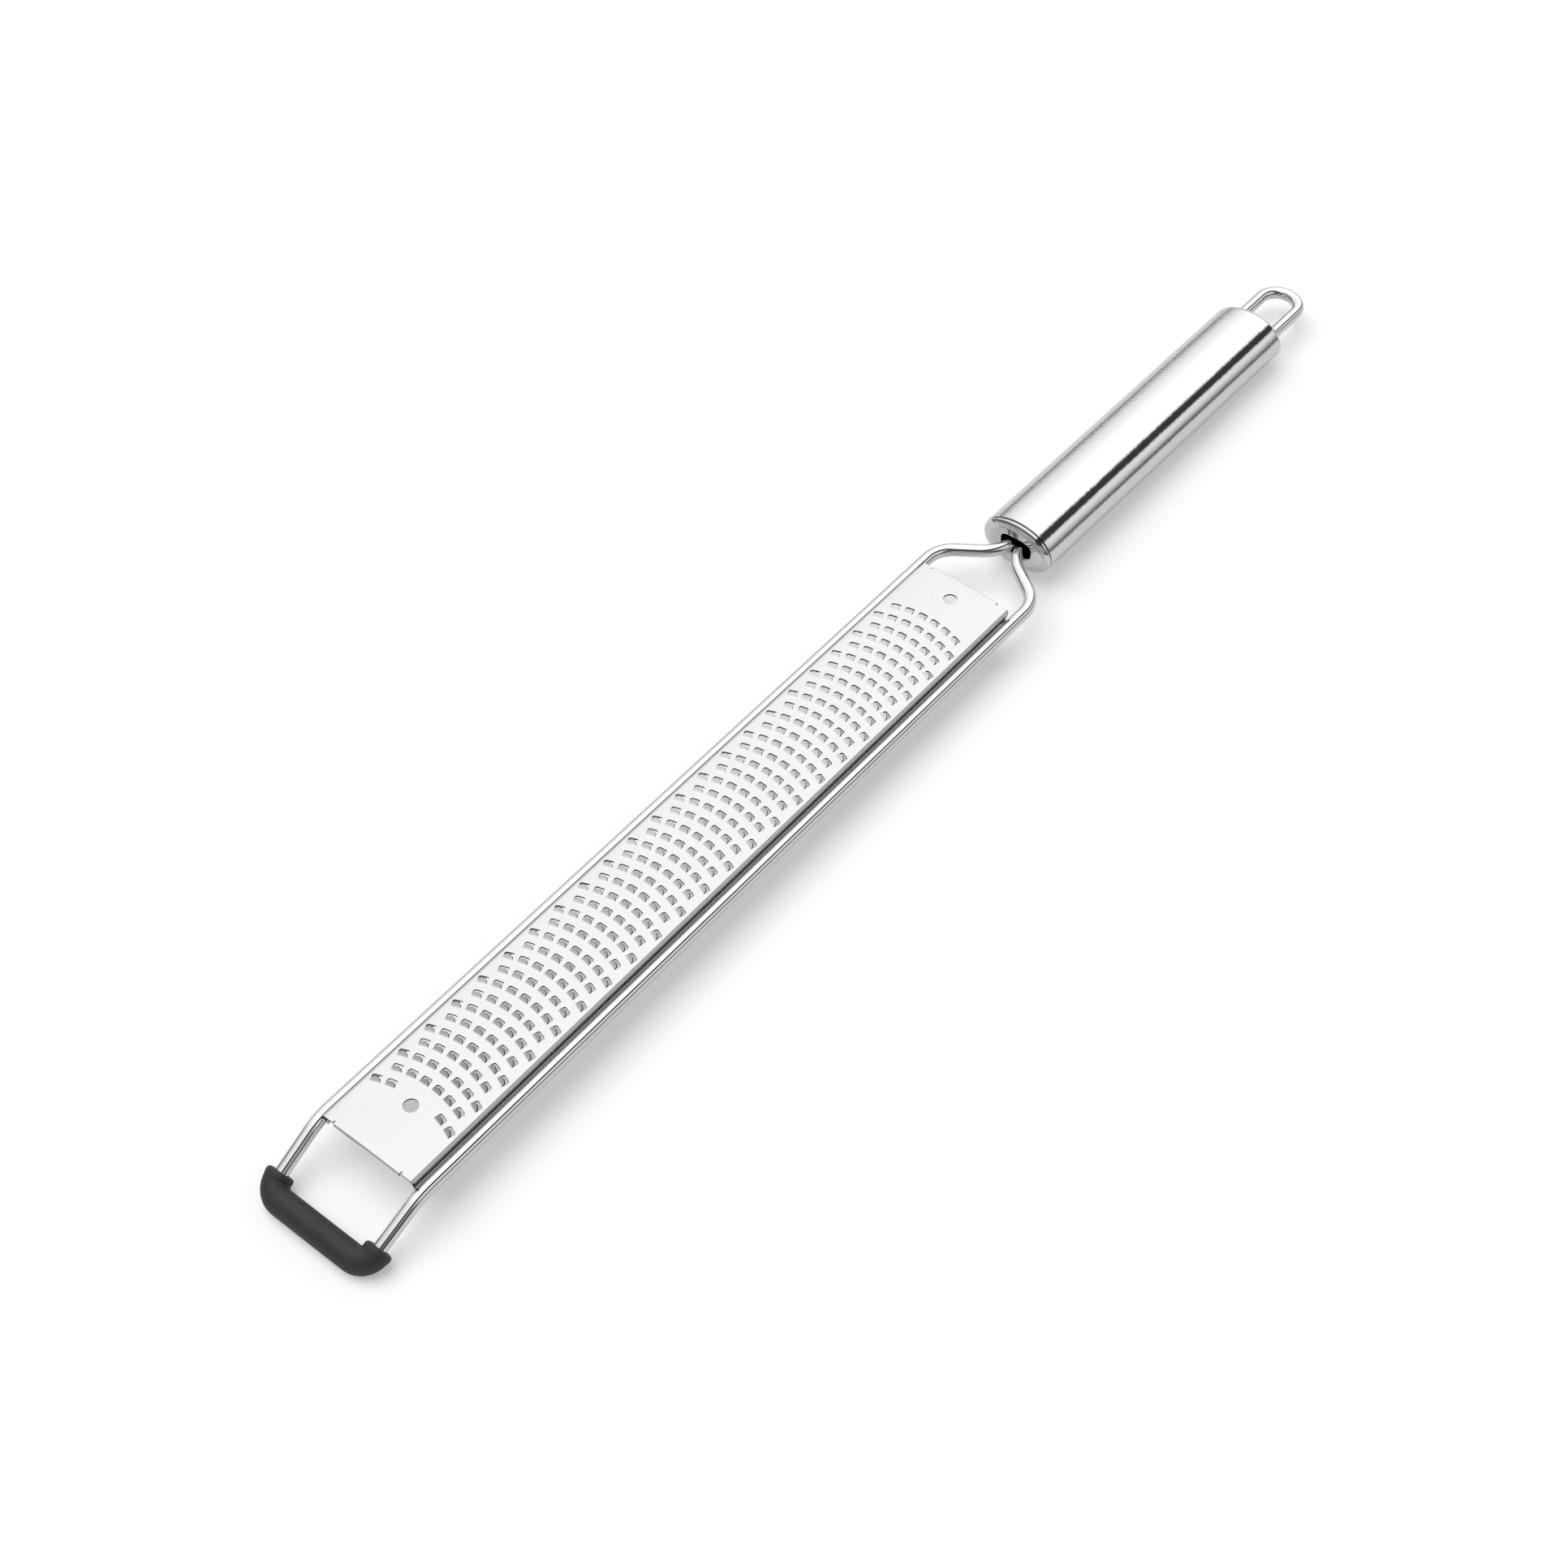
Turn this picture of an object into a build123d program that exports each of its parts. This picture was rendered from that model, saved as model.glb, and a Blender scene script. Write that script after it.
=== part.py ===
"""Rasp zester: a punched steel blade in a hairpin wire frame, on an oval tube handle.

The pieces are drawn with the blade level: X across, +Y from the foot towards the handle,
+Z up, zero at the middle of the blade's handle end, on its top. At the end all of them are
turned and moved together, so that the tool rests on the plane z = 0 with its foot and the
rear of its handle, and the origin is under the middle of the whole tool.
"""

import os
from math import asin, atan2, ceil, cos, degrees, hypot, pi, radians, sin, tan

from build123d import *

# All lengths are in millimetres and all angles in degrees.

# Blade: thin sheet, its long edges bent down inside the wires
blade_length = 221.9
blade_half_width = 14.1
sheet_thickness = 0.5
edge_bend_radius = 0.9
flange_depth = 4.6

# Lips turned down at the blade's two ends, with a small notch beside each end of a lip
lip_height = 1.0
lip_half_width = 10.3
notch_width = 0.4
notch_depth = 0.6

# Punched holes, in arcs whose crown points to the handle
row_pitch = 4.4
row_arc_radius = 32.65
first_row_from_handle_end = 16.1
last_row_from_foot_end = 16.6
hole_spacing = 3.892
even_row_hole_count = 6
odd_row_hole_count = 7
steps_left_out_of_last_row = 1.5
hole_width = 2.65
hole_length = 2.25

# Tongue in each punched hole, bent up from the side towards the foot: the tooth
tongue_tip_width = 1.4
tongue_reach = 1.25
tongue_bend = 26.0

# Round holes on the blade's centre line
round_hole_radius = 1.9
round_hole_from_handle_end = 6.7
round_hole_from_foot_end = 14.1

# Frame: one wire bent like a hairpin, its rails beside the blade
wire_radius = 1.75
wire_below_blade_top = 3.89
shoulder_beyond_blade = 9.06
shoulder_bend_radius = 8.8
throat_before_handle = 5.4
throat_bend_radius = 10.2
tail_gap = 0.1
tail_beyond_plug = 1.0

# The wires and the sleeve are drawn with flats, and their bends with short straight steps
wire_flat_count = 12
bend_step_angle = 20.0

# The frame's front, bent down to the cross-bar that the foot sits on
front_bend_radius = 15.8
front_slope = 24.6
front_leg_length = 19.7
front_toe_in = 0.55
foot_corner_radius = 4.4

# Foot: rubber sleeve round the cross-bar and its corners, with a lip at each cuff
sleeve_wall = 1.65
cuff_length = 5.3
cuff_lip_height = 0.25
cuff_lip_width = 0.9
cuff_chamfer = 0.3
sole_depth = 0.35

# Handle: oval tube of four arcs, two of them at its sides. Its rear edge rounds in by steps
handle_from_blade = 24.0
handle_below_blade_top = 3.63
handle_droop = 1.09
handle_half_width = 11.0
handle_half_height = 7.55
handle_side_radius = 5.84
handle_length = 113.9
tube_wall = 0.8
tube_shoulder_radius = 2.2
shoulder_step_count = 3
tube_inner_chamfer = 1.1

# Front cap: pressed cup in the tube's mouth, with a bead, a raised face and a slot
bead_inset = 0.5
bead_width = 0.95
bead_height = 0.9
bead_chamfer = 0.3
valley_depth = 0.5
face_rise = 0.9
face_slope_width = 2.2
slot_width = 9.0
slot_height = 4.9
slot_corner_radius = 1.9
slot_edge_chamfer = 0.5
cap_wall = 0.7
cap_skirt_length = 5.0

# Rear cap: plate in the tube's end, stepped to bear on the rounded-in edge
rear_plate_thickness = 1.6
rear_step_width = 0.25

# Hanging loop, bent from the frame's wire
loop_half_width = 5.8
loop_reach = 21.8
loop_inside = 6.0

# Plug: block in the tube that holds the frame's tails
plug_from_mouth = 9.0
plug_length = 18.0

# Fits: the gap round a pressed or welded piece, and how far a cut runs past its piece
fit_gap = 0.03
overrun = 2.0

# Places that follow from the sizes
wire_x = blade_half_width + fit_gap + wire_radius
tail_x = wire_radius + tail_gap / 2
sleeve_radius = wire_radius + sleeve_wall
rows_cover = blade_length - first_row_from_handle_end - last_row_from_foot_end
row_count = round(rows_cover / row_pitch) + 1
side_centre = handle_half_width - handle_side_radius
broad_radius = (side_centre**2 + handle_half_height**2 - handle_side_radius**2) / (
    2 * (handle_half_height - handle_side_radius)
)
handle_place = Pos(0, handle_from_blade, -handle_below_blade_top) * Rot(X=-handle_droop)


def along_y(section, start, length):
    """A section drawn in X and Z, given a length along +Y from start."""
    return Pos(0, start, 0) * extrude(Plane.XZ * section, amount=length, dir=(0, 1, 0))


def oval(place, inset):
    """The handle's oval outline, less inset all round, at a place along it."""
    side, top = handle_half_width - inset, handle_half_height - inset
    radius = handle_side_radius - inset
    lean = atan2(broad_radius - handle_half_height, side_centre)
    x, z = side_centre + radius * cos(lean), radius * sin(lean)
    arcs = [
        ThreePointArc((x, -z), (side, 0), (x, z)),
        ThreePointArc((x, z), (0, top), (-x, z)),
        ThreePointArc((-x, z), (-side, 0), (-x, -z)),
        ThreePointArc((-x, -z), (0, -top), (x, -z)),
    ]
    return Pos(0, place, 0) * (Plane.XZ * make_face(arcs))


def oval_block(front, rear, inset=0.0):
    """A solid of the handle's oval, less inset all round, between two places along it."""
    return extrude(oval(front, inset), amount=rear - front, dir=(0, 1, 0))


def along_steps(section, path):
    """A section carried along a path, each bend taken in short straight steps."""
    points = [path @ 0]
    for edge in path.order_edges():
        curved = edge.geom_type == GeomType.CIRCLE
        steps = ceil(degrees(edge.length / edge.radius) / bend_step_angle) if curved else 1
        points += [edge @ (step / steps) for step in range(1, steps + 1)]
    route = Polyline(*points)
    start = Plane(origin=route @ 0, z_dir=route % 0)
    return sweep(start * section, path=route, transition=Transition.RIGHT)


def bar_along(path, radius):
    """A bar that follows a path, its flats' edges at the radius."""
    return along_steps(RegularPolygon(radius, wire_flat_count), path)


def bore_section():
    """The hole that takes a wire, its flats just clear of the wire's edges."""
    return RegularPolygon(wire_radius + fit_gap, wire_flat_count, major_radius=False)


def hole_places():
    """Where each punched hole lies, turned with its arc."""
    places = []
    for row in range(row_count):
        count = odd_row_hole_count if row % 2 else even_row_hole_count
        for index in range(count):
            steps = index - (count - 1) / 2
            if row == row_count - 1 and abs(steps) < steps_left_out_of_last_row:
                continue
            turn = steps * hole_spacing / row_arc_radius
            back = row_arc_radius * (1 - cos(turn))
            y = -first_row_from_handle_end - row * row_pitch - back
            places.append(Pos(row_arc_radius * sin(turn), y, 0) * Rot(Z=-degrees(turn)))
    return places


def tongue():
    """One hole's tongue in the hole's own place: narrowing to its tip, rising from its root."""
    root, tip = hole_width / 2, tongue_tip_width / 2
    start, end = -hole_length / 2, tongue_reach - hole_length / 2
    edge = tongue_reach * tan(radians(tongue_bend))
    side = make_face(
        Polyline(
            (0, start, 0),
            (0, end, edge),
            (0, end, edge - sheet_thickness),
            (0, start, -sheet_thickness),
            close=True,
        )
    )
    plan = make_face(Polyline((-root, start), (root, start), (tip, end), (-tip, end), close=True))
    across = extrude(side, amount=root, both=True, dir=(1, 0, 0))
    return across & extrude(plan, amount=hole_width, both=True)


def grater_blade():
    """A channel of sheet with end lips, round holes and the arcs of punched teeth."""
    top_edge = (Align.CENTER, Align.MAX)
    outside = Rectangle(2 * blade_half_width, flange_depth, align=top_edge)
    outside = fillet(outside.vertices().group_by(Axis.Y)[-1], edge_bend_radius)
    inside = Rectangle(2 * (blade_half_width - sheet_thickness), flange_depth, align=top_edge)
    inside = fillet(inside.vertices().group_by(Axis.Y)[-1], edge_bend_radius - sheet_thickness)
    blade = along_y(outside - Pos(0, -sheet_thickness) * inside, -blade_length, blade_length)

    lip = Rectangle(2 * lip_half_width, lip_height, align=top_edge)
    blade += along_y(lip, -blade_length, sheet_thickness)
    blade += along_y(lip, -sheet_thickness, sheet_thickness)

    notch = Box(notch_width, 2 * notch_depth, 2 * overrun)
    notch_x = lip_half_width + notch_width / 2
    corners = [Pos(side * notch_x, end, 0) for side in (-1, 1) for end in (0, -blade_length)]
    round_hole = Cylinder(round_hole_radius, 2 * overrun)
    middles = [-round_hole_from_handle_end, round_hole_from_foot_end - blade_length]
    punch = Box(hole_width, hole_length, 2 * overrun)
    places = hole_places()
    cuts = [corner * notch for corner in corners] + [Pos(0, y, 0) * round_hole for y in middles]
    blade -= cuts + [place * punch for place in places]
    tooth = tongue()
    return blade + [place * tooth for place in places]


def front_leg():
    """The rail's last two corners on the +X side, at the blade's end and at the cross-bar."""
    fall = radians(front_slope)
    bend = Vector(wire_x, -blade_length, -wire_below_blade_top)
    run = Vector(-front_toe_in, -front_leg_length * cos(fall), -front_leg_length * sin(fall))
    return bend, bend + run


def mirrored(point):
    """The same point on the other side of the tool."""
    return Vector(-point.X, point.Y, point.Z)


def wire_frame():
    """The hairpin: tail, throat, shoulder, rail, leg and cross-bar, and back up the other side."""
    tail_end = plug_from_mouth + plug_length + tail_beyond_plug
    tail = (handle_place * Pos(tail_x, tail_end, 0)).position
    throat = (handle_place * Pos(tail_x, -throat_before_handle, 0)).position
    shoulder = Vector(wire_x, shoulder_beyond_blade, -wire_below_blade_top)
    half = [tail, throat, shoulder, *front_leg()]
    bends = [throat_bend_radius, shoulder_bend_radius, front_bend_radius, foot_corner_radius]
    points = half + [mirrored(point) for point in reversed(half)]
    return bar_along(FilletPolyline(*points, radius=bends + bends[::-1]), wire_radius)


def rubber_foot():
    """A sleeve round the cross-bar, up to a lipped cuff on each leg, before its sole is cut."""
    bend, corner = front_leg()
    leg = (bend - corner).normalized()
    cuff = corner + leg * cuff_length
    past = cuff + leg * overrun
    corners = [corner, mirrored(corner)]
    path = FilletPolyline(cuff, *corners, mirrored(cuff), radius=foot_corner_radius)
    longer = FilletPolyline(past, *corners, mirrored(past), radius=foot_corner_radius)
    foot = bar_along(path, sleeve_radius)
    for end, inward in ((path @ 0, path % 0), (path @ 1, -(path % 1))):
        ring = RegularPolygon(sleeve_radius + cuff_lip_height, wire_flat_count)
        lip = extrude(Plane(origin=end, z_dir=inward) * ring, amount=cuff_lip_width)
        foot += chamfer(lip.faces().sort_by(SortBy.AREA)[-2:].edges(), cuff_chamfer)
    return foot - along_steps(bore_section(), longer)


def handle_tube():
    """The oval tube, open at its mouth, with its rear edge rounded in round the rear plate."""
    shoulder = handle_length - tube_shoulder_radius
    outside = oval_block(0, shoulder)
    rings = []
    for step in range(shoulder_step_count + 1):
        turn = pi / 2 * step / shoulder_step_count
        inset = tube_shoulder_radius * (1 - cos(turn))
        rings.append(oval(shoulder + tube_shoulder_radius * sin(turn), inset))
    for front, rear in zip(rings, rings[1:]):
        outside += loft([front, rear])
    bore = oval_block(0, handle_length - tube_wall, tube_wall)
    bore = chamfer(bore.edges().group_by(Axis.Y)[-1], tube_inner_chamfer)
    rear = oval_block(handle_length - overrun, handle_length + overrun, tube_shoulder_radius)
    return outside - bore - rear


def front_cap():
    """The cup in the tube's mouth: skirt, bead round the edge, raised face and cross slot."""
    valley_floor = valley_depth - bead_height
    face_front = -bead_height - face_rise
    valley_inset = bead_inset + bead_width
    bead = oval_block(-bead_height, 0, bead_inset)
    bead = chamfer(bead.edges().group_by(Axis.Y)[0], bead_chamfer)
    bead -= oval_block(-bead_height - overrun, valley_floor, valley_inset)
    face = loft([oval(valley_floor, valley_inset), oval(face_front, valley_inset + face_slope_width)])
    slot = RectangleRounded(slot_width, slot_height, slot_corner_radius)
    face -= along_y(slot, face_front - overrun, 2 * overrun + cap_skirt_length)
    lip = face.faces().sort_by(Axis.Y)[0].inner_wires()[0].edges()
    face = chamfer(lip, slot_edge_chamfer)
    skirt = oval_block(0, cap_skirt_length, tube_wall + fit_gap)
    hollow = oval_block(valley_floor + cap_wall, cap_skirt_length + overrun, tube_wall + cap_wall)
    behind_slot = along_y(slot, valley_floor - overrun, 2 * overrun + cap_skirt_length)
    return bead + skirt - hollow - behind_slot + face


def rear_cap():
    """The plate in the tube's end, its step behind the rounded-in edge, with two leg holes."""
    seat = handle_length - tube_wall
    plate = oval_block(seat, handle_length, tube_shoulder_radius + fit_gap)
    step_inset = tube_shoulder_radius - rear_step_width
    plate += oval_block(handle_length - rear_plate_thickness, seat, step_inset)
    leg = along_y(bore_section(), seat - overrun, tube_wall + 2 * overrun)
    return plate - [Pos(side * loop_half_width, 0, 0) * leg for side in (-1, 1)]


def hanging_loop():
    """The U at the rear, its legs ending inside the tube."""
    inner_end = handle_length - loop_inside
    crown = handle_length + loop_reach - wire_radius
    bend_start = crown - loop_half_width
    left, right = -loop_half_width, loop_half_width
    path = Wire(
        [
            Line((left, inner_end), (left, bend_start)),
            ThreePointArc((left, bend_start), (0, crown), (right, bend_start)),
            Line((right, bend_start), (right, inner_end)),
        ]
    )
    return bar_along(path, wire_radius)


def tail_plug():
    """The block that fills the tube behind the front cap, with one slot for both tails."""
    block = oval_block(plug_from_mouth, plug_from_mouth + plug_length, tube_wall + fit_gap)
    tails = SlotOverall(2 * (tail_x + wire_radius + fit_gap), 2 * (wire_radius + fit_gap))
    return block - along_y(tails, plug_from_mouth - overrun, plug_length + 2 * overrun)


def rest_tilt():
    """The turn about X that lays the foot's sole and the handle's rear on one level plane."""
    bar = front_leg()[1]
    edge_y = handle_length - tube_shoulder_radius
    edge = (handle_place * Pos(0, edge_y, tube_shoulder_radius - handle_half_height)).position
    across, down = edge.Y - bar.Y, bar.Z - edge.Z
    lift = sleeve_radius - sole_depth - tube_shoulder_radius
    return degrees(asin(lift / hypot(across, down)) - atan2(down, across))


def rested(pieces):
    """All pieces turned level and moved, so the tool stands on z = 0 round the origin."""
    turn = Rot(X=-rest_tilt())
    box = Compound([turn * piece for piece in pieces.values()]).bounding_box()
    bar = (turn * Pos(front_leg()[1])).position
    place = Pos(0, -box.center().Y, sleeve_radius - sole_depth - bar.Z) * turn
    pieces = {node: place * piece for node, piece in pieces.items()}
    foot = pieces["rubber_foot"]
    top_face = (Align.CENTER, Align.CENTER, Align.MAX)
    ground = Box(4 * wire_x, 4 * sleeve_radius, 2 * overrun, align=top_face)
    pieces["rubber_foot"] = foot - Pos(0, foot.center().Y, 0) * ground
    return pieces


beside_blade = {
    "grater_blade": grater_blade(),
    "wire_frame": wire_frame(),
    "rubber_foot": rubber_foot(),
}
on_handle = {
    "handle_tube": handle_tube(),
    "front_cap": front_cap(),
    "rear_cap": rear_cap(),
    "hanging_loop": hanging_loop(),
    "tail_plug": tail_plug(),
}
placed = {node: handle_place * piece for node, piece in on_handle.items()}

os.makedirs("parts", exist_ok=True)
for node, piece in rested(beside_blade | placed).items():
    export_step(piece, f"parts/{node}.step")
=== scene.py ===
"""Rasp zester on a pale table: the scene, laid out as a Blender add-on and run as a script.

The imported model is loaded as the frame. Each operator models one piece over its CAD node, in
the node's place, and gives it its finish. Lengths are kept in metres, as Blender shows them.
The pieces are drawn with the blade level: X across, +Y from the foot to the handle, zero at
the middle of the blade's handle end, on its top. Then they are laid down as the tool rests.
"""

from math import atan2, ceil, cos, pi, radians, sin, tan

import bmesh
import bpy
from bpy.props import FloatProperty, FloatVectorProperty, IntProperty, PointerProperty
from mathutils import Matrix, Vector


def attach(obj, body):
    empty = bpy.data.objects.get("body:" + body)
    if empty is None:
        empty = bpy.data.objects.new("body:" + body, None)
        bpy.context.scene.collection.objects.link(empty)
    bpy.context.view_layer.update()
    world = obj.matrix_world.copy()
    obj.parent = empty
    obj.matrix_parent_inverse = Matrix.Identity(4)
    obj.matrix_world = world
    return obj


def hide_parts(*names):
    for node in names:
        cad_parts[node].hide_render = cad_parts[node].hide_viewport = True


bl_info = {
    "name": "Rasp zester",
    "version": (1, 0, 0),
    "blender": (4, 5, 0),
    "location": "View3D > Sidebar > Zester",
    "description": "Models a rasp zester with a tube handle over its CAD frame, piece by piece",
    "category": "Add Mesh",
}

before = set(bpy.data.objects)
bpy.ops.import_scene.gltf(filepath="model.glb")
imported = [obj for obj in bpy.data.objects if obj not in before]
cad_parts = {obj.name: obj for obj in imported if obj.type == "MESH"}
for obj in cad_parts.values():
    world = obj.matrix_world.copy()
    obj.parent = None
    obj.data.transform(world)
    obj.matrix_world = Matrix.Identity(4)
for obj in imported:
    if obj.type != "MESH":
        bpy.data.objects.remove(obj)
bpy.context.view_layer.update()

MM = 0.001
# The tool rests on foot and handle. That puts the drawing's zero here in the frame, and lets the
# blade fall this much towards the handle
REST_FORWARD = 41.804 * MM
REST_HEIGHT = 13.967 * MM
REST_LEAN = radians(0.28036)
# Gap between a piece and the one that it fits
FIT = 0.03 * MM
# Points nearer to each other than this are merged
WELD = 0.004 * MM
# The same where a piece meets its mirrored half
SEAM = 0.02 * MM
# Places nearer than this count as the same when parts are selected
NEAR = 0.01 * MM
# A point this near to the flat sheet's plane lies in it
IN_PLANE = 1e-7
# The front cap's bead, from the tube's mouth inwards: a roll, a slope, a shallow valley and a
# second, flatter roll. Each run has its first and last angle and its length in millimetres
BEAD = ((-80, 0, 0.8), (0, 41, 0.34), (41, 50, 0.75), (50, 100, 0.5), (100, 62, 0.35), (62, 88, 0.6))
# A broad softbox above and a narrow one beside it, a dark bar between them and pale walls. Each
# has its level by the angle from straight up, first to either side of the blade, then to either
# end of it
SOFTBOXES = (
    (
        ((-180, 0.5), (-90, 0.1), (-86, 0.1), (-81, 0.55), (-50, 0.82), (-32, 0.98), (8, 1),
         (19.2, 0.97), (20, 0), (180, 0)),
        ((-180, 0.5), (-90, 0.55), (-66, 0.5), (-60, 0.08), (-50, 0.08), (-44, 0.28), (-33, 0.62),
         (-27, 0.8), (-12, 0.97), (0, 1), (66, 1), (80, 0.6), (90, 0.45), (180, 0.45)),
    ),
    (
        ((-180, 0), (41, 0), (41.8, 0.66), (53, 0.68), (64, 0.5), (74, 0.3), (78, 0.1), (84, 0.1),
         (90, 0.4), (180, 0.5)),
        ((-180, 0.5), (-90, 0.55), (-66, 0.5), (-60, 0.08), (-40, 0.1), (-8, 1), (66, 1),
         (80, 0.7), (90, 0.5), (180, 0.5)),
    ),
)


# Colours and sizes as properties


def linear(hex_colour):
    """The linear colour of an sRGB hex value such as #D9D8D5."""
    parts = [int(hex_colour[place:place + 2], 16) / 255 for place in (1, 3, 5)]
    return [part / 12.92 if part <= 0.04045 else ((part + 0.055) / 1.055) ** 2.4 for part in parts]


def size(name, millimetres, about):
    """A length property whose default is given in millimetres."""
    return FloatProperty(
        name=name, description=about, default=millimetres * MM, precision=5, unit="LENGTH"
    )


def turn(name, degrees, about):
    """An angle property whose default is given in degrees."""
    return FloatProperty(name=name, description=about, default=radians(degrees), subtype="ANGLE")


def paint(name, hex_colour, about):
    """A colour property whose default is given as sRGB hex."""
    return FloatVectorProperty(
        name=name, description=about, default=linear(hex_colour), size=3, min=0, max=1, subtype="COLOR"
    )


class ZesterBlade(bpy.types.PropertyGroup):
    """Sizes and colour of the punched blade."""

    length: size("Length", 221.9, "From the foot end to the handle end")
    half_width: size("Half width", 14.1, "From the middle to the outside of a flange")
    thickness: size("Sheet thickness", 0.5, "Thickness of the rolled sheet")
    edge_radius: size("Edge radius", 0.75, "Outer radius of the bend into each flange")
    flange: size("Flange depth", 4.6, "How far the long edges are turned down")
    trim: size("Flange trim", 1.5, "How far each flange's lower corners are cut back")
    camber: turn("Camber", 8.2, "How far the sheet is arched, from flange to flange")
    arch_strip: size("Arch strip", 2.4, "Width of the flat strips that make up the arch")
    lip: size("Lip height", 1.0, "How far the short ends are turned down")
    lip_bend: size("Lip bend", 0.35, "Outer radius of the bend into each lip")
    lip_half_width: size("Lip half width", 10.3, "From the middle to the notch beside a lip")
    notch_width: size("Notch width", 0.4, "Width of the notch at each end of a lip")
    notch_depth: size("Notch depth", 0.6, "Depth of the notch from the blade's end")
    rows: IntProperty(name="Rows", description="Arcs of punched holes", default=44)
    row_holes: IntProperty(
        name="Holes in a row", description="In the first arc. Every second arc has one more", default=6
    )
    last_row_gap: IntProperty(
        name="Gap in the last row", description="Holes left out of it, at the round hole", default=3
    )
    row_pitch: size("Row pitch", 4.4, "From one arc to the next")
    row_radius: size("Row radius", 32.65, "Radius of each arc of holes")
    first_row: size("First row", 16.1, "From the handle end to the crown of the first arc")
    hole_step: size("Hole step", 3.892, "From hole to hole along an arc")
    hole_width: size("Hole width", 2.65, "Size of a punched hole across the blade")
    hole_length: size("Hole length", 2.25, "Size of a punched hole along the blade")
    hole_corner: size("Hole corner", 0.55, "Radius of the corners at the tongue's tip")
    tongue: size("Tongue length", 1.42, "Length of a tongue, which is bent up from its hole")
    tongue_turn: turn("Tongue angle", 33.0, "How steeply a tongue's tip stands up")
    round_hole: size("Round hole radius", 1.9, "Radius of the two round holes")
    round_from_handle: size("Round hole, handle end", 6.7, "Its middle from the handle end")
    round_from_foot: size("Round hole, foot end", 14.1, "Its middle from the foot end")
    steel: paint("Sheet steel", "#CACACA", "Colour of the satin rolled sheet")
    # The cut edge's colour is darker than cut steel is: painted shade in the punched walls and on the
    # sheet's rims
    cut_steel_painted_shade: paint("Cut edge", "#5E5E5E", "Colour of the walls that the punch left")


class ZesterWire(bpy.types.PropertyGroup):
    """Sizes and colours of the bent wires and the rubber foot."""

    radius: size("Wire radius", 1.75, "Half the wire's thickness")
    beside: size("Rail from middle", 15.88, "From the middle of the blade to a rail's middle")
    below: size("Rail depth", 3.89, "From the blade's top to a rail's middle")
    shoulder: size("Shoulder", 9.06, "Where the rails turn inwards, beyond the blade")
    shoulder_bend: size("Shoulder bend", 8.8, "Radius of that bend")
    throat: size("Throat", 5.4, "Where the wires turn into the handle, before its mouth")
    throat_bend: size("Throat bend", 10.2, "Radius of that bend")
    tail_from_middle: size("Tail from middle", 1.8, "From the handle's middle to a tail's middle")
    tail_depth: size("Tail depth", 28.0, "How far the tails reach into the handle")
    front_bend: size("Front bend", 15.8, "Radius of the bend down to the foot")
    front_slope: turn("Front slope", 24.6, "How steeply the legs fall to the foot")
    front_leg: size("Front leg", 19.7, "Length of a leg, from bend to bend")
    toe_in: size("Toe-in", 0.55, "How far each leg leans inwards")
    foot_bend: size("Foot bend", 4.4, "Radius of the corners at the cross-bar")
    sleeve_wall: size("Sleeve wall", 1.65, "Thickness of the rubber")
    cuff: size("Cuff length", 5.3, "How far the sleeve reaches up each leg")
    cuff_lip: size("Cuff lip", 0.15, "How far the cuff stands out")
    cuff_swell: size("Cuff swell", 2.0, "Where the sleeve starts to swell, before the cuff's rim")
    cuff_bend: size("Cuff rounding", 0.8, "Radius of the cuff's rim")
    cuff_inlet: size("Cuff inlet", 0.25, "How far the sleeve's bore widens at the rim")
    loop_half_width: size("Loop half width", 5.8, "From the middle of the loop to its wire's middle")
    loop_reach: size("Loop reach", 21.8, "From the handle's end to the loop's far side")
    loop_inside: size("Loop inside", 6.0, "How far the loop's legs reach into the tube")
    steel: paint("Wire steel", "#D2D2D2", "Colour of the polished wire")
    rubber: paint("Rubber", "#1F1F20", "Colour of the moulded rubber")


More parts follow.
